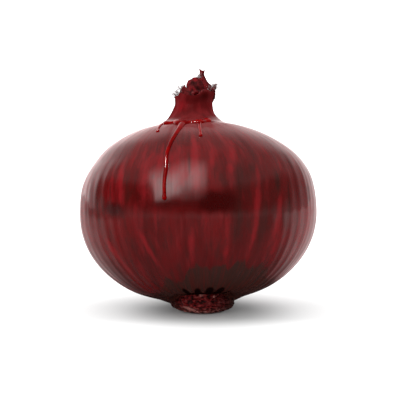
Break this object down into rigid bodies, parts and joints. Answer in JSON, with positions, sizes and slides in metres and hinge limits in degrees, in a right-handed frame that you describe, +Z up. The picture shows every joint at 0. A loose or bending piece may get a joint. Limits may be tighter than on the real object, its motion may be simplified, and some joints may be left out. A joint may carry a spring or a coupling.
{
  "type": "red onion",
  "caption": "Whole red onion with dry skin and narrow neck with dried leaf ends, standing on its trimmed root plate, with a run of red liquid on the shoulder.",
  "frame": {"origin": "centre of the flat underside of the root plate, on the surface that the onion rests on", "axes": "+Z up from the surface, -Y towards the front that carries the run of liquid, +X to the right seen from the front"},
  "size_m": [0.0811, 0.0796, 0.0823],
  "materials": {
    "dry_skin": "papery dry skin with a satin sheen, crimson streaks along the meridians",
    "dried_leaf": "matt, wrinkled, torn",
    "root_plate": "matt, rough, corky",
    "red_liquid": "wet, glossy"
  },
  "bodies": {
    "root": {"bulb": "dry_skin", "leaf_ends": "dried_leaf", "root_plate": "root_plate", "liquid_run": "red_liquid"}
  },
  "joints": []
}
